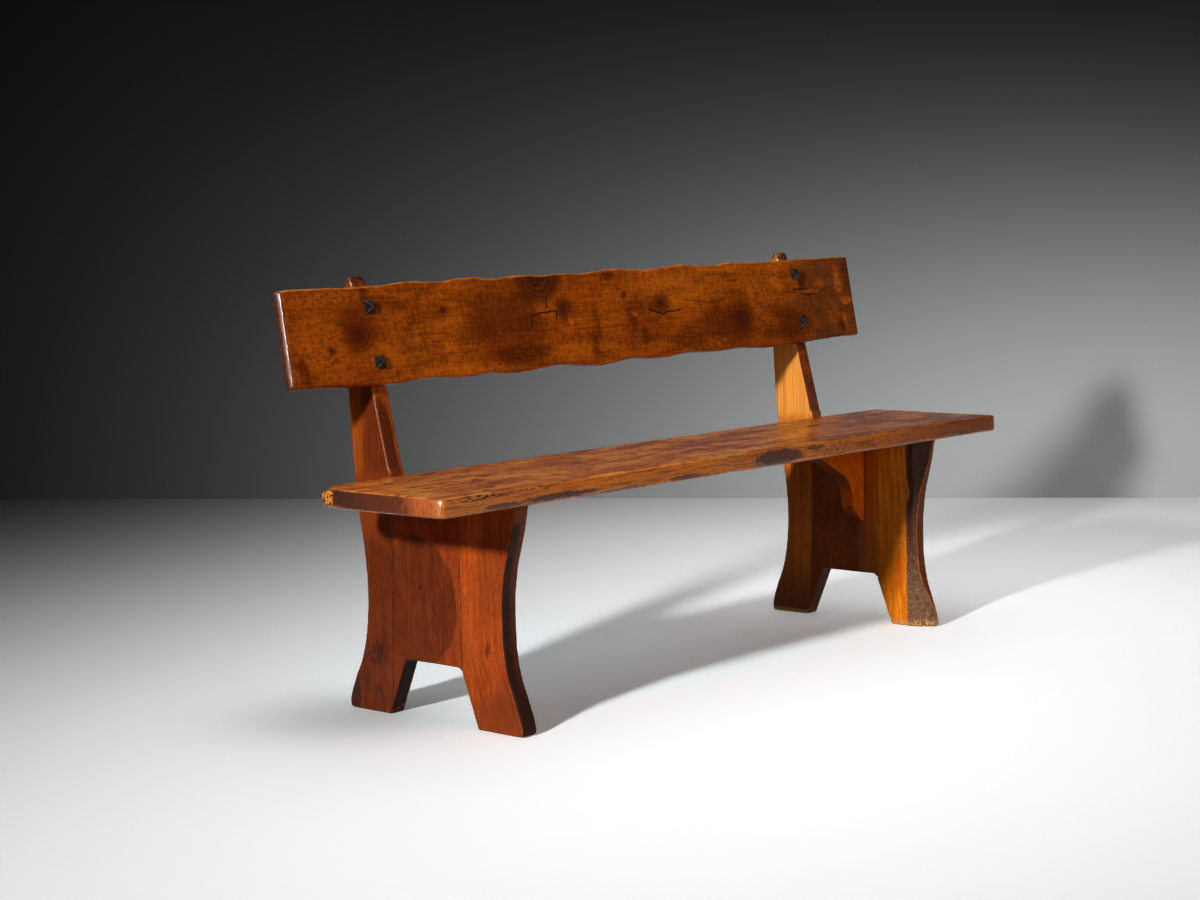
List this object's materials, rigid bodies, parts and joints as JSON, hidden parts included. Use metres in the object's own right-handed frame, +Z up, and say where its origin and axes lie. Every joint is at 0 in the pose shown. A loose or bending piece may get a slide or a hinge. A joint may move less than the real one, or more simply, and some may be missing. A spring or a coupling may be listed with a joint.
{
  "type": "bench",
  "caption": "Rustic pine bench: plank seat on doweled slab legs, curved knee braces, and a live-edge back board held to raked posts by forged coach screws.",
  "frame": {"origin": "on the floor, under the middle of the overall size", "axes": "+X to the right as seen from the front, -Y towards the front, where the sitter's legs are, +Z up"},
  "size_m": [1.7432, 0.463, 0.82],
  "materials": {
    "seat_pine": "satin varnish, reddish brown, with bark and dark pits on the live front edge",
    "board_pine": "gloss varnish, dark amber brown, knotty, with a lighter upper arris",
    "leg_pine": "gloss varnish, orange brown, with darker heartwood",
    "right_leg_pine": "gloss varnish, golden brown, with bark on the front",
    "brace_pine": "gloss varnish, orange brown",
    "beech": "bare wood, hidden",
    "iron": "black forged iron, semi-matt"
  },
  "bodies": {
    "root": {"seat_plank": "seat_pine", "back_board": "board_pine", "left_leg_rear_board": "leg_pine", "left_leg_middle_board": "leg_pine", "left_leg_front_board": "leg_pine", "right_leg_rear_board": "right_leg_pine", "right_leg_middle_board": "leg_pine", "right_leg_front_board": "leg_pine", "left_knee_brace": "brace_pine", "right_knee_brace": "brace_pine", "coach_screw_left_upper": "iron", "coach_screw_left_lower": "iron", "coach_screw_right_upper": "iron", "coach_screw_right_lower": "iron", "left_leg_front_dowel_lower": "beech", "left_leg_front_dowel_upper": "beech", "left_leg_rear_dowel_lower": "beech", "left_leg_rear_dowel_upper": "beech", "left_seat_dowel_front": "beech", "left_seat_dowel_middle": "beech", "left_seat_dowel_rear": "beech", "left_knee_brace_seat_dowel": "beech", "left_knee_brace_leg_dowel": "beech", "right_leg_front_dowel_lower": "beech", "right_leg_front_dowel_upper": "beech", "right_leg_rear_dowel_lower": "beech", "right_leg_rear_dowel_upper": "beech", "right_seat_dowel_front": "beech", "right_seat_dowel_middle": "beech", "right_seat_dowel_rear": "beech", "right_knee_brace_seat_dowel": "beech", "right_knee_brace_leg_dowel": "beech"}
  },
  "joints": []
}
